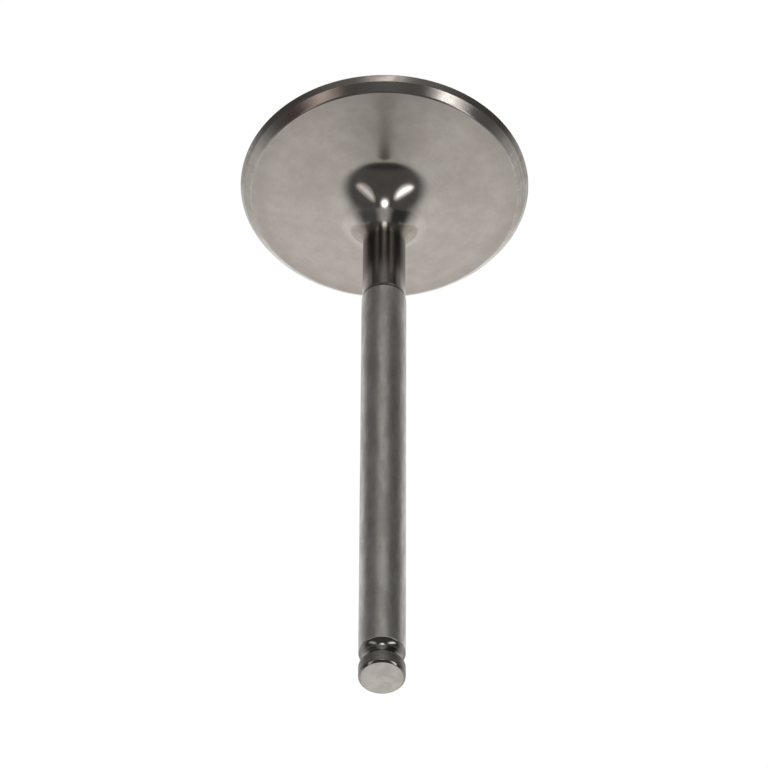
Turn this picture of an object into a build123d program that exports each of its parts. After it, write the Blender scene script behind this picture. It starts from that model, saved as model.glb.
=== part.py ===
"""Poppet valve for a piston engine, turned and ground from one forging.

The valve stands on its combustion face: +Z runs up the stem to the tip, and the
origin is the centre of that face. All lengths are in millimetres, angles in degrees.
"""

import os
from math import cos, radians, sin, sqrt, tan

from build123d import *

# Overall
overall_length = 127.0
head_diameter = 52.0
stem_diameter = 7.95

# Rim of the head: upright land, tapered margin, ground seat and the shoulder that ends the seat
rim_land = 0.12
rim_edge_radius = 0.08  # where the face meets the land
margin_height = 1.13  # from the combustion face to the seat
margin_angle = 29.0  # from the stem's axis, closing towards the tip
seat_angle = 45.0  # from the combustion face
seat_width = 1.75  # measured along the cone
shoulder_height = 0.17
shoulder_width = 0.25
seat_edge_radius = 0.3  # where the margin meets the seat

# Back of the head and neck
back_angle = 15.0  # from the combustion face
neck_radius = 10.6
undercut_depth = 0.165  # below the full stem, on the radius
undercut_end = 31.65  # height at which the stem reaches its full diameter
undercut_blend_radius = 3.0

# Keeper groove and tip
tip_land = 2.6  # from the tip face to the near lip of the groove
groove_width = 3.24
groove_depth = 1.03
groove_lip_radius = 0.18
tip_chamfer = 0.33

# Radii and heights that follow from the sizes above
head_radius = head_diameter / 2
stem_radius = stem_diameter / 2
undercut_radius = stem_radius - undercut_depth
margin_taper = (margin_height - rim_land) * tan(radians(margin_angle))
face_to_land = (head_radius, 0)
land_to_margin = (head_radius, rim_land)
margin_to_seat = (head_radius - margin_taper, margin_height)
seat_to_shoulder = (
    margin_to_seat[0] - seat_width * cos(radians(seat_angle)),
    margin_to_seat[1] + seat_width * sin(radians(seat_angle)),
)
shoulder_to_back = (seat_to_shoulder[0] - shoulder_width, seat_to_shoulder[1] + shoulder_height)
back_rise = (shoulder_to_back[0] - undercut_radius) * tan(radians(back_angle))
back_to_undercut = (undercut_radius, shoulder_to_back[1] + back_rise)
blend_height = sqrt(2 * undercut_blend_radius * undercut_depth - undercut_depth**2)
groove_top = overall_length - tip_land
groove_bottom = groove_top - groove_width


with BuildPart() as valve:
    with BuildSketch(Plane.XZ) as half_section:
        with BuildLine():
            head = Polyline(
                (0, 0),
                face_to_land,
                land_to_margin,
                margin_to_seat,
                seat_to_shoulder,
                shoulder_to_back,
                back_to_undercut,
                (undercut_radius, undercut_end - blend_height),
            )
            blend = TangentArc(head @ 1, (stem_radius, undercut_end), tangent=(0, 1))
            guide_length = Line(blend @ 1, (stem_radius, groove_bottom))
            groove = ThreePointArc(
                guide_length @ 1,
                (stem_radius - groove_depth, (groove_bottom + groove_top) / 2),
                (stem_radius, groove_top),
            )
            Polyline(groove @ 1, (stem_radius, overall_length), (0, overall_length), (0, 0))
        make_face()

        def corner(point):
            """The corner of the half section that lies at this radius and height."""
            return half_section.vertices().sort_by_distance((*point, 0))[0]

        fillet(corner(back_to_undercut), neck_radius)
        fillet(corner(face_to_land), rim_edge_radius)
        fillet(corner(margin_to_seat), seat_edge_radius)
        fillet([corner((stem_radius, groove_bottom)), corner((stem_radius, groove_top))], groove_lip_radius)
        chamfer(corner((stem_radius, overall_length)), tip_chamfer)
    revolve(axis=Axis.Z)
valve.part.label = "valve"

os.makedirs("parts", exist_ok=True)
export_step(valve.part, "parts/valve.step")
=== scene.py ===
import math

import bmesh
import bpy
from mathutils import Matrix, Vector


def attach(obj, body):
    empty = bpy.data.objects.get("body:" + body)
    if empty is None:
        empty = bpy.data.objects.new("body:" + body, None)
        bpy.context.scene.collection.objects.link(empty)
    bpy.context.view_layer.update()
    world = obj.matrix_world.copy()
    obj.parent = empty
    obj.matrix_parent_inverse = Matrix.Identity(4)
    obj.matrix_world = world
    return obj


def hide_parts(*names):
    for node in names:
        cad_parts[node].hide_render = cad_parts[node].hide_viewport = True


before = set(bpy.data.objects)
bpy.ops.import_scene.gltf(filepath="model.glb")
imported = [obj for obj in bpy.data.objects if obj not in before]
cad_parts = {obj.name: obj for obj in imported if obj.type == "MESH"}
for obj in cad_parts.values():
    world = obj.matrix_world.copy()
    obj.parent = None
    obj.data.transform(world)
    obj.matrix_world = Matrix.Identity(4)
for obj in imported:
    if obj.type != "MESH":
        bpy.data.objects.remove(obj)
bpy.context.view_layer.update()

mm = 0.001  # the script's sizes are in millimetres, Blender's are in metres
scene = bpy.context.scene
# a Map Range node's inputs 1 and 2 are the range it reads, 3 and 4 the one it gives, from 0 to 1 unless set
smoothly = {"interpolation_type": "SMOOTHSTEP"}


def toLinear(hexColour):
    shares = [int(hexColour[i:i + 2], 16) / 255 for i in (1, 3, 5)]
    return [s / 12.92 if s <= 0.04045 else ((s + 0.055) / 1.055) ** 2.4 for s in shares] + [1.0]


def addNode(tree, kind, settings=None, links=None):
    # a setting is a property of the node, or else an input by name or number; a link feeds an input
    node = tree.nodes.new(kind)
    for key, value in (settings or {}).items():
        if isinstance(key, str) and hasattr(node, key):
            setattr(node, key, value)
        else:
            node.inputs[key].default_value = value
    for key, socket in (links or {}).items():
        tree.links.new(socket, node.inputs[key])
    return node


def newMaterial(name):
    material = bpy.data.materials.new(name)
    material.use_nodes = True
    material.node_tree.nodes.clear()
    return material


def addObject(name, bm, materials):
    mesh = bpy.data.meshes.new(name)
    bm.to_mesh(mesh)
    bm.free()
    for material in materials:
        mesh.materials.append(material)
    piece = bpy.data.objects.new(name, mesh)
    scene.collection.objects.link(piece)
    return piece


# The camera looks down on the valve's back at 48 degrees, turned so that the head is up
cameraSettings = {
    "sensor": 36.0,
    "lens": 302.83,
    "clip": (50.0, 30000.0),
    "tilt": 41.695,  # degrees from straight down
    "roll": 180.3,
    "place": (-0.094, -750.06, 895.59),
}
cameraData = bpy.data.cameras.new("camera")
cameraData.sensor_width = cameraSettings["sensor"]
cameraData.lens = cameraSettings["lens"]
cameraData.clip_start, cameraData.clip_end = (distance * mm for distance in cameraSettings["clip"])
camera = bpy.data.objects.new("camera", cameraData)
scene.collection.objects.link(camera)
scene.camera = camera
camera.matrix_world = (
    Matrix.Translation(Vector(cameraSettings["place"]) * mm)
    @ Matrix.Rotation(math.radians(cameraSettings["tilt"]), 4, "X")
    @ Matrix.Rotation(math.radians(cameraSettings["roll"]), 4, "Z")
)
print("camera placed")


# Every finish is the same stainless valve steel; grinding, turning and polishing change how it shines, and painted
# light and shade change the colour of some finishes.
# patch and line are sizes in millimetres; stretch draws the patches out along the stem. Real tool lines lie
# about 0.03 mm apart, too fine to show, so they are drawn coarser.
finishes = {
    # turned and rubbed with fine cloth round the axis, so it is soft and bright, and shinier in the neck
    "turnedSatin": {
        "base": "#CDC6BE", "stain": "#C6BEB5", "patch": 4.0, "stretch": 1.0, "line": 0.45, "lineDepth": 0.035,
        "roughness": 0.20, "roughSpread": 0.03, "anisotropy": 0.3, "bump": 0.0006,
        "polished": (11.0, 16.0, 0.13),  # inside these radii the roughness falls to this
        "paintedUndercutShade": (14.2, 17.4, 0.25),  # painted shade: from this height to the next the undercut is painted darker, to this share
        "paintedUndercutLight": (22.0, 28.0, 2.1),  # painted light: the undercut painted brighter again towards the guide
        "paintedRingShade": (31.15, 31.3, 0.55),  # painted shade: a dark ring painted where the undercut steps up to the stem
        "rimDarkening": (20.5, 23.5, 0.90),  # by radius: the colour turns a little darker towards the rim
        "rougher": ((14.2, 17.4, 0.07), (30.55, 31.15, 0.25)),  # by height: the undercut's darker band, and the torn metal at the ring
    },
    # the seat is ground true: bright, with hair lines round the rim and faint brown heat marks
    "groundSeat": {
        "base": "#CEC8C1", "stain": "#C2BAB2", "patch": 2.2, "stretch": 1.0, "line": 0.22, "lineDepth": 0.15,
        "roughness": 0.19, "roughSpread": 0.04, "anisotropy": 0.75, "bump": 0.0006, "metallic": 0.95,
        "scorch": (-33.0, 24.0, "#B3A297"),  # degrees from the front, reach to either side, colour
    },
    # the keeper groove and the tip's chamfer are polished after hardening, nearly a mirror; their base is painted dark,
    # painted shade for the dark they show
    "lathePolished": {
        "base": "#A09C97", "stain": "#948F8A", "patch": 1.5, "stretch": 1.0, "line": 0.3, "lineDepth": 0.10,
        "roughness": 0.12, "roughSpread": 0.03, "anisotropy": 0.3, "bump": 0.0004,
    },
    # the stem is centreless ground, then salt-bath hardened, which leaves soft cloudy patches along it; its base is
    # painted lighter than the other steel, painted light
    "groundStem": {
        "base": "#E3DED8", "stain": "#C8C2BC", "patch": 1.5, "stretch": 0.22, "line": 0.45, "lineDepth": 0.05,
        "roughness": 0.34, "roughSpread": 0.05, "anisotropy": 0.2, "bump": 0.0004, "metallic": 0.82,
    },
    # the tip is ground flat on a stone, so it is pale and even
    "groundTip": {
        "base": "#DDD7D1", "stain": "#D0CAC3", "patch": 1.3, "stretch": 1.0, "line": 0.3, "lineDepth": 0.04,
        "roughness": 0.36, "roughSpread": 0.06, "anisotropy": 0.0, "bump": 0.0008,
    },
    # the land beside the tip keeps its tool lines and its grey hardening skin
    "turnedLand": {
        "base": "#ABA49E", "stain": "#9A938C", "patch": 0.8, "stretch": 1.0, "line": 0.28, "lineDepth": 0.30,
        "roughness": 0.40, "roughSpread": 0.06, "anisotropy": 0.0, "bump": 0.0008, "metallic": 0.75,
    },
    # the margin is left as turned, duller than the seat beside it
    "turnedMargin": {
        "base": "#B8B1AA", "stain": "#AAA299", "patch": 2.2, "stretch": 1.0, "line": 0.25, "lineDepth": 0.12,
        "roughness": 0.31, "roughSpread": 0.05, "anisotropy": 0.5, "bump": 0.0006,
    },
}
noiseSettings = {
    "cloud": {"Detail": 5.0, "Roughness": 0.62},
    "cloudEdges": (0.36, 0.64),  # where a patch begins and ends in the noise
    "line": {"Detail": 3.0, "Roughness": 0.6},
    "lineEdges": (0.3, 0.7),
    "lineDrift": 1.6,  # how much a line changes round the axis, against its width
}


def steelFinish(name, finish):
    material = newMaterial(name)
    tree = material.node_tree
    place = addNode(tree, "ShaderNodeTexCoord").outputs["Object"]
    around = addNode(tree, "ShaderNodeVectorMath", {"operation": "CROSS_PRODUCT", 0: (0, 0, 1)}, {1: place})
    height = addNode(tree, "ShaderNodeSeparateXYZ", links={0: place}).outputs["Z"]
    flat = addNode(tree, "ShaderNodeVectorMath", {"operation": "MULTIPLY", 1: (1, 1, 0)}, {0: place}).outputs[0]
    outward = addNode(tree, "ShaderNodeVectorMath", {"operation": "NORMALIZE"}, {0: flat}).outputs[0]
    radius = addNode(tree, "ShaderNodeVectorMath", {"operation": "LENGTH"}, {0: flat}).outputs["Value"]
    # cloudy patches, large and small
    drawn = addNode(tree, "ShaderNodeVectorMath", {"operation": "MULTIPLY", 1: (1, 1, finish["stretch"])}, {0: place})
    clouds = addNode(tree, "ShaderNodeTexNoise", {"Scale": 1 / (finish["patch"] * mm), **noiseSettings["cloud"]},
                     {"Vector": drawn.outputs[0]})
    low, high = noiseSettings["cloudEdges"]
    cloud = addNode(tree, "ShaderNodeMapRange", {**smoothly, 1: low, 2: high}, {0: clouds.outputs["Fac"]}).outputs[0]
    # tool lines run round the axis: the profile's own length varies fast, the angle hardly at all
    along = addNode(tree, "ShaderNodeMath", {"operation": "SUBTRACT"}, {0: radius, 1: height})
    level = addNode(tree, "ShaderNodeCombineXYZ", links={"Z": along.outputs[0]})
    drift = finish["line"] * mm * noiseSettings["lineDrift"]
    slow = addNode(tree, "ShaderNodeVectorMath", {"operation": "SCALE", "Scale": drift}, {0: outward})
    track = addNode(tree, "ShaderNodeVectorMath", {"operation": "ADD"}, {0: slow.outputs[0], 1: level.outputs[0]})
    lines = addNode(tree, "ShaderNodeTexNoise", {"Scale": 1 / (finish["line"] * mm), **noiseSettings["line"]},
                    {"Vector": track.outputs[0]}).outputs["Fac"]
    low, high = noiseSettings["lineEdges"]
    shade = addNode(tree, "ShaderNodeMapRange", {**smoothly, 1: low, 2: high, 3: 1 - finish["lineDepth"], 4: 1.0},
                    {0: lines}).outputs[0]
    # painted shade and painted light on the undercut and at its ring, and a rim a little darker, each as a share of the
    # colour
    for mark, where in (("paintedUndercutShade", height), ("paintedUndercutLight", height), ("paintedRingShade", height), ("rimDarkening", radius)):
        if mark in finish:
            low, high, share = finish[mark]
            markShare = addNode(tree, "ShaderNodeMapRange", {**smoothly, 1: low * mm, 2: high * mm, 3: 1.0, 4: share},
                           {0: where}).outputs[0]
            shade = addNode(tree, "ShaderNodeMath", {"operation": "MULTIPLY"}, {0: shade, 1: markShare}).outputs[0]
    tone = addNode(tree, "ShaderNodeMix", {"data_type": "RGBA", 6: toLinear(finish["stain"]),
                                           7: toLinear(finish["base"])}, {0: cloud}).outputs[2]
    if "scorch" in finish:  # a brown heat mark on one side
        angle, reach, burnt = finish["scorch"]
        towards = (-math.sin(math.radians(angle)), -math.cos(math.radians(angle)), 0)
        facing = addNode(tree, "ShaderNodeVectorMath", {"operation": "DOT_PRODUCT", 1: towards}, {0: outward})
        share = addNode(tree, "ShaderNodeMapRange", {**smoothly, 1: math.cos(math.radians(reach)), 2: 1.0},
                        {0: facing.outputs["Value"]}).outputs[0]
        tone = addNode(tree, "ShaderNodeMix", {"data_type": "RGBA", 7: toLinear(burnt)}, {0: share, 6: tone}).outputs[2]
    colour = addNode(tree, "ShaderNodeVectorMath", {"operation": "SCALE"}, {0: tone, "Scale": shade}).outputs[0]
    # the clean patches are a little smoother than the stained ones
    half = finish["roughSpread"] / 2
    rough = addNode(tree, "ShaderNodeMapRange", {**smoothly, 3: finish["roughness"] + half,
                                                 4: finish["roughness"] - half}, {0: cloud}).outputs[0]
    if "polished" in finish:
        low, high, polished = finish["polished"]
        share = addNode(tree, "ShaderNodeMapRange", {**smoothly, 1: low * mm, 2: high * mm}, {0: radius}).outputs[0]
        rough = addNode(tree, "ShaderNodeMix", {2: polished}, {0: share, 3: rough}).outputs[0]
    for low, high, more in finish.get("rougher", ()):
        extra = addNode(tree, "ShaderNodeMapRange", {**smoothly, 1: low * mm, 2: high * mm, 4: more}, {0: height})
        rough = addNode(tree, "ShaderNodeMath", {"operation": "ADD"}, {0: rough, 1: extra.outputs[0]}).outputs[0]
    relief = addNode(tree, "ShaderNodeBump", {"Strength": 1.0, "Distance": finish["bump"] * mm}, {"Height": lines})
    # the quarter turn stretches highlights across the tool lines
    steel = addNode(tree, "ShaderNodeBsdfPrincipled", {
        "Metallic": finish.get("metallic", 1.0), "Anisotropic": finish["anisotropy"], "Anisotropic Rotation": 0.25,
    }, {"Base Color": colour, "Roughness": rough, "Tangent": around.outputs[0], "Normal": relief.outputs[0]})
    addNode(tree, "ShaderNodeOutputMaterial", links={"Surface": steel.outputs[0]})
    return material


valveSettings = {
    "length": 127.0,
    "headRadius": 26.0,
    "stemRadius": 3.975,
    "landHeight": 0.12,
    "marginTop": (25.44, 1.13),  # radius and height
    "seatTop": (24.203, 2.367),
    "shoulderTop": (23.953, 2.537),
    "backAngle": 15.0,
    "neckRadius": 10.6,
    "neckSteps": 48,
    "undercutRadius": 3.81,
    "undercutEnd": 31.65,
    "undercutBlend": 3.0,
    "blendSteps": 8,
    "groove": (121.16, 124.4),  # the heights of its two lips
    "grooveDepth": 1.03,
    "grooveSteps": 28,
    "tipChamfer": 0.33,
    "rimBreak": (0.06, 4),  # width and segments of a softly broken corner
    "edgeBreak": (0.05, 3),
    "grooveBreak": (0.115, 6),
    "steps": 256,
    "hair": 0.0001,  # points and end faces this close count as one
}


def lineTo(bm, last, radius, height):
    # draws the half section on by one straight run and returns its new end
    new = bmesh.ops.extrude_vert_indiv(bm, verts=[last])["verts"][0]
    new.co = Vector((radius, 0, height)) * mm
    return new


def arcTo(bm, last, centreRadius, centreHeight, angle, steps):
    # draws the half section on by an arc about a centre and returns its new end
    spun = bmesh.ops.spin(bm, geom=[last], cent=Vector((centreRadius, 0, centreHeight)) * mm,
                          axis=(0, 1, 0), angle=math.radians(angle), steps=steps)
    return spun["geom_last"][0]


def roundCorner(bm, corner, offset, segments):
    bmesh.ops.bevel(bm, geom=[corner], offset=offset * mm, offset_type="OFFSET", segments=segments,
                    profile=0.5, affect="VERTICES", material=-1)


def makeValve(size):
    bm = bmesh.new()
    start = bm.verts.new((0, 0, 0))
    edge = lineTo(bm, start, size["headRadius"], 0)
    land = lineTo(bm, edge, size["headRadius"], size["landHeight"])
    margin = lineTo(bm, land, *size["marginTop"])
    seat = lineTo(bm, margin, *size["seatTop"])
    shoulder = lineTo(bm, seat, *size["shoulderTop"])
    # back cone, then the neck's arc, which turns the cone up into the undercut
    slope = math.radians(size["backAngle"])
    turn = 90 - size["backAngle"]
    under = size["undercutRadius"]
    cornerHeight = size["shoulderTop"][1] + (size["shoulderTop"][0] - under) * math.tan(slope)
    reach = size["neckRadius"] * math.tan(math.radians(turn / 2))
    back = lineTo(bm, shoulder, under + reach * math.cos(slope), cornerHeight - reach * math.sin(slope))
    neck = arcTo(bm, back, under + size["neckRadius"], cornerHeight + reach, turn, size["neckSteps"])
    rise = math.acos(1 - (size["stemRadius"] - under) / size["undercutBlend"])
    blendStart = size["undercutEnd"] - size["undercutBlend"] * math.sin(rise)
    undercut = lineTo(bm, neck, under, blendStart)
    ring = arcTo(bm, undercut, under + size["undercutBlend"], blendStart, math.degrees(rise), size["blendSteps"])
    # stem, keeper groove and tip
    lowLip, highLip = size["groove"]
    halfMouth = (highLip - lowLip) / 2
    grooveRound = (halfMouth ** 2 + size["grooveDepth"] ** 2) / (2 * size["grooveDepth"])
    sweep = 2 * math.degrees(math.asin(halfMouth / grooveRound))
    lip = lineTo(bm, ring, size["stemRadius"], lowLip)
    tipLip = arcTo(bm, lip, size["stemRadius"] - size["grooveDepth"] + grooveRound, lowLip + halfMouth,
                   sweep, size["grooveSteps"])
    tipEdge = lineTo(bm, tipLip, size["stemRadius"], size["length"] - size["tipChamfer"])
    tipFace = lineTo(bm, tipEdge, size["stemRadius"] - size["tipChamfer"], size["length"])
    lineTo(bm, tipFace, 0, size["length"])
    roundCorner(bm, edge, *size["rimBreak"])
    for corner in (land, margin, seat, shoulder, ring, tipEdge, tipFace):
        roundCorner(bm, corner, *size["edgeBreak"])
    for corner in (lip, tipLip):
        roundCorner(bm, corner, *size["grooveBreak"])
    bmesh.ops.spin(bm, geom=bm.verts[:] + bm.edges[:], cent=(0, 0, 0), axis=(0, 0, 1),
                   angle=math.tau, steps=size["steps"], use_merge=True)
    bmesh.ops.remove_doubles(bm, verts=bm.verts, dist=size["hair"] * mm)
    bmesh.ops.recalc_face_normals(bm, faces=bm.faces)
    # each finish runs up the valve to the height beside it
    zones = (
        (size["hair"], "turnedSatin"),
        (size["marginTop"][1], "turnedMargin"),
        (size["shoulderTop"][1], "groundSeat"),
        (size["undercutEnd"] + 2 * size["edgeBreak"][0], "turnedSatin"),
        (lowLip, "groundStem"),
        (highLip, "lathePolished"),
        (size["length"] - size["tipChamfer"] - size["edgeBreak"][0], "turnedLand"),
        (size["length"] - size["hair"], "lathePolished"),
        (math.inf, "groundTip"),
    )
    order = list(finishes)
    for face in bm.faces:
        face.smooth = True
        height = face.calc_center_median().z / mm
        face.material_index = order.index(next(finish for top, finish in zones if height < top))
    return bm


valve = addObject("valve_turned", makeValve(valveSettings),
                  [steelFinish(name, finish) for name, finish in finishes.items()])
flatNormals = valve.modifiers.new("flat normals", "WEIGHTED_NORMAL")
flatNormals.weight = 50
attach(valve, "root")
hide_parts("valve")
print("valve made", len(valve.data.polygons))


# Pale floor: white to the camera and to reflections, with a trace of plain paint that keeps the shadow
floorSettings = {
    "radius": 6000.0,
    "height": -0.2,
    "colour": "#F4F3F1",
    "shadowShare": 0.08,
    "white": 1.07,  # with the paint's share it comes to 1
}


def addDisc(name, place, material):
    bm = bmesh.new()
    bmesh.ops.create_circle(bm, cap_ends=True, segments=64, radius=place["radius"] * mm)
    bmesh.ops.translate(bm, verts=bm.verts, vec=(0, 0, place["height"] * mm))
    disc = addObject(name, bm, [material])
    return disc


def floorMaterial(floor):
    material = newMaterial("matt white paper")
    tree = material.node_tree
    rays = addNode(tree, "ShaderNodeLightPath").outputs
    seen = addNode(tree, "ShaderNodeMath", {"operation": "ADD"},
                   {0: rays["Is Camera Ray"], 1: rays["Is Glossy Ray"]})
    shown = addNode(tree, "ShaderNodeMath", {"operation": "ADD", "use_clamp": True},
                    {0: seen.outputs[0], 1: rays["Is Transmission Ray"]})
    share = addNode(tree, "ShaderNodeMath", {"operation": "MULTIPLY", 1: 1 - floor["shadowShare"]},
                    {0: shown.outputs[0]})
    paper = addNode(tree, "ShaderNodeBsdfDiffuse", {"Color": toLinear(floor["colour"])})
    white = addNode(tree, "ShaderNodeEmission", {"Strength": floor["white"]})
    both = addNode(tree, "ShaderNodeMixShader", links={0: share.outputs[0], 1: paper.outputs[0],
                                                      2: white.outputs[0]})
    addNode(tree, "ShaderNodeOutputMaterial", links={"Surface": both.outputs[0]})
    return material


addDisc("floor", floorSettings, floorMaterial(floorSettings))
print("floor laid")


# What the steel sees of the floor: dim paper at the sides, lit in front by the front lamp and behind by the room.
# It lies just over the floor and only reflections see it. A light is given by the degrees from the front over
# which it comes or goes, and its strength.
cardSettings = {
    "radius": 3000.0,
    "height": -0.05,
    "reach": (62.0, 104.0),  # from the paper near the head to the paper further out
    "edge": 0.6,  # the sides' own light changes from right to left between these shares of the distance
    "sides": (0.04, 0.08),  # right and left, near the head
    "outerSides": (0.04, 0.09),
    "glow": (4.0, 38.0, 0.35),  # in front, near the head
    "beam": (6.0, 42.0, 0.32),  # in front, further out
    "far": (76.0, 136.0, 0.81),
    "close": (28.0, 31.0),  # paper this close to the head is brighter at the sides and behind
    "closeSides": (56.0, 74.0, 0.74),
    "closeFar": (80.0, 108.0, 1.1),
}


def frontAngle(tree, direction):
    # the angle round the upright axis from the front, alike on both sides, in radians
    axes = addNode(tree, "ShaderNodeSeparateXYZ", links={0: direction})
    sideways = addNode(tree, "ShaderNodeMath", {"operation": "ABSOLUTE"}, {0: axes.outputs["X"]})
    ahead = addNode(tree, "ShaderNodeMath", {"operation": "MULTIPLY", 1: -1.0}, {0: axes.outputs["Y"]})
    angle = addNode(tree, "ShaderNodeMath", {"operation": "ARCTAN2"}, {0: sideways.outputs[0], 1: ahead.outputs[0]})
    return angle.outputs[0]


def cardMaterial(card):
    material = newMaterial("dim paper seen by the steel")
    tree = material.node_tree
    place = addNode(tree, "ShaderNodeTexCoord").outputs["Object"]
    angle = frontAngle(tree, place)
    distance = addNode(tree, "ShaderNodeVectorMath", {"operation": "LENGTH"}, {0: place}).outputs["Value"]
    sideways = addNode(tree, "ShaderNodeSeparateXYZ", links={0: place}).outputs["X"]
    leftness = addNode(tree, "ShaderNodeMath", {"operation": "DIVIDE"}, {0: sideways, 1: distance}).outputs[0]
    parts = []
    for sides, spread in (("sides", "glow"), ("outerSides", "beam")):
        right, left = card[sides]
        side = addNode(tree, "ShaderNodeMapRange", {**smoothly, 1: -card["edge"], 2: card["edge"], 3: right, 4: left},
                       {0: leftness}).outputs[0]
        low, high, strength = card[spread]
        lit = addNode(tree, "ShaderNodeMapRange", {**smoothly, 1: math.radians(low), 2: math.radians(high),
                                                   3: strength, 4: 0.0}, {0: angle}).outputs[0]
        parts.append(addNode(tree, "ShaderNodeMath", {"operation": "ADD"}, {0: side, 1: lit}).outputs[0])
    low, high = card["reach"]
    out = addNode(tree, "ShaderNodeMapRange", {**smoothly, 1: low * mm, 2: high * mm}, {0: distance}).outputs[0]
    paper = addNode(tree, "ShaderNodeMix", {}, {0: out, 2: parts[0], 3: parts[1]}).outputs[0]
    low, high = card["close"]
    close = addNode(tree, "ShaderNodeMapRange", {**smoothly, 1: low * mm, 2: high * mm, 3: 1.0, 4: 0.0},
                    {0: distance}).outputs[0]
    for part, where in (("far", None), ("closeSides", close), ("closeFar", close)):
        low, high, strength = card[part]
        share = addNode(tree, "ShaderNodeMapRange", {**smoothly, 1: math.radians(low), 2: math.radians(high)},
                        {0: angle}).outputs[0]
        if where:
            share = addNode(tree, "ShaderNodeMath", {"operation": "MULTIPLY"}, {0: share, 1: where}).outputs[0]
        paper = addNode(tree, "ShaderNodeMix", {3: strength}, {0: share, 2: paper}).outputs[0]
    light = addNode(tree, "ShaderNodeEmission", links={"Strength": paper})
    addNode(tree, "ShaderNodeOutputMaterial", links={"Surface": light.outputs[0]})
    return material


card = addDisc("dim_paper", cardSettings, cardMaterial(cardSettings))
card.visible_camera = False
card.visible_diffuse = False
card.visible_shadow = False
print("dim paper laid")

# Soft boxes: angle from the front towards -X, height angle and turn in degrees, sizes and distances in
# millimetres. Each is brighter in its middle, so it is a small oval box in front of a large one.
lampSettings = {
    "front": {"angle": 1, "rise": 9, "distance": 900, "size": (520, 400), "strength": 0.35, "turn": 0},
    "front middle": {"angle": 1, "rise": 9.5, "distance": 890, "size": (330, 240), "strength": 2.2, "turn": 0},
    "right": {"angle": 49, "rise": 34, "distance": 900, "size": (780, 320), "strength": 0.6, "turn": -36},
    "right middle": {"angle": 51, "rise": 35, "distance": 890, "size": (600, 150), "strength": 1.7, "turn": -36},
    "left": {"angle": -47, "rise": 33, "distance": 900, "size": (820, 320), "strength": 0.37, "turn": 46},
    "left middle": {"angle": -48, "rise": 34, "distance": 890, "size": (640, 130), "strength": 0.5, "turn": 46},
}
for name, lamp in lampSettings.items():
    data = bpy.data.lights.new(name + " soft box", "AREA")
    data.shape = "ELLIPSE"
    data.size, data.size_y = (side * mm for side in lamp["size"])
    area = math.pi / 4 * data.size * data.size_y
    data.energy = lamp["strength"] * math.pi * area  # a strength of 1 looks white
    box = bpy.data.objects.new(name + " soft box", data)
    scene.collection.objects.link(box)
    box.matrix_world = (
        Matrix.Rotation(-math.radians(lamp["angle"]), 4, "Z")
        @ Matrix.Rotation(math.radians(90 - lamp["rise"]), 4, "X")
        @ Matrix.Translation((0, 0, lamp["distance"] * mm))
        @ Matrix.Rotation(math.radians(lamp["turn"]), 4, "Z")
    )
    box.visible_camera = False
print("lamps placed")

# The room: pale behind the valve, dark on the camera's side and dark overhead. Edges are degrees from the front;
# low, high and overhead are sines of the height angle.
roomSettings = {
    "near": 0.09,
    "far": 0.73,
    "farHigh": 0.61,
    "high": (0.5, 0.87),
    "overhead": (0.94, 0.985),
    "overheadNear": 0.04,
    "overheadFar": 0.46,
    "edge": (82.0, 118.0),
    "lowEdge": (68.0, 138.0),  # near the floor
    "low": (0.0, 0.36),
}


def roomLight(tree, room):
    direction = addNode(tree, "ShaderNodeTexCoord").outputs["Generated"]
    angle = frontAngle(tree, direction)
    height = addNode(tree, "ShaderNodeSeparateXYZ", links={0: direction}).outputs["Z"]
    lowShare, highShare = (
        addNode(tree, "ShaderNodeMapRange", {**smoothly, 1: math.radians(start), 2: math.radians(end)},
                {0: angle}).outputs[0]
        for start, end in (room["lowEdge"], room["edge"])
    )
    raised, high, overhead = (
        addNode(tree, "ShaderNodeMapRange", {**smoothly, 1: start, 2: end}, {0: height}).outputs[0]
        for start, end in (room["low"], room["high"], room["overhead"])
    )
    share = addNode(tree, "ShaderNodeMix", {}, {0: raised, 2: lowShare, 3: highShare}).outputs[0]
    far = addNode(tree, "ShaderNodeMix", {2: room["far"], 3: room["farHigh"]}, {0: high}).outputs[0]
    walls = addNode(tree, "ShaderNodeMix", {2: room["near"]}, {0: share, 3: far}).outputs[0]
    ceiling = addNode(tree, "ShaderNodeMix", {2: room["overheadNear"], 3: room["overheadFar"]}, {0: share}).outputs[0]
    return addNode(tree, "ShaderNodeMix", {}, {0: overhead, 2: walls, 3: ceiling}).outputs[0]


world = bpy.data.worlds.new("room")
scene.world = world
world.use_nodes = True
tree = world.node_tree
tree.nodes.clear()
rays = addNode(tree, "ShaderNodeLightPath").outputs
shown = addNode(tree, "ShaderNodeMath", {"operation": "ADD", "use_clamp": True},
                {0: rays["Is Camera Ray"], 1: rays["Is Transmission Ray"]})
strength = addNode(tree, "ShaderNodeMix", {3: 1.0}, {0: shown.outputs[0], 2: roomLight(tree, roomSettings)})
light = addNode(tree, "ShaderNodeBackground", {"Color": (1, 1, 1, 1)}, {"Strength": strength.outputs[0]})
addNode(tree, "ShaderNodeOutputWorld", links={"Surface": light.outputs[0]})
scene.view_settings.view_transform = "Standard"
print("room made")
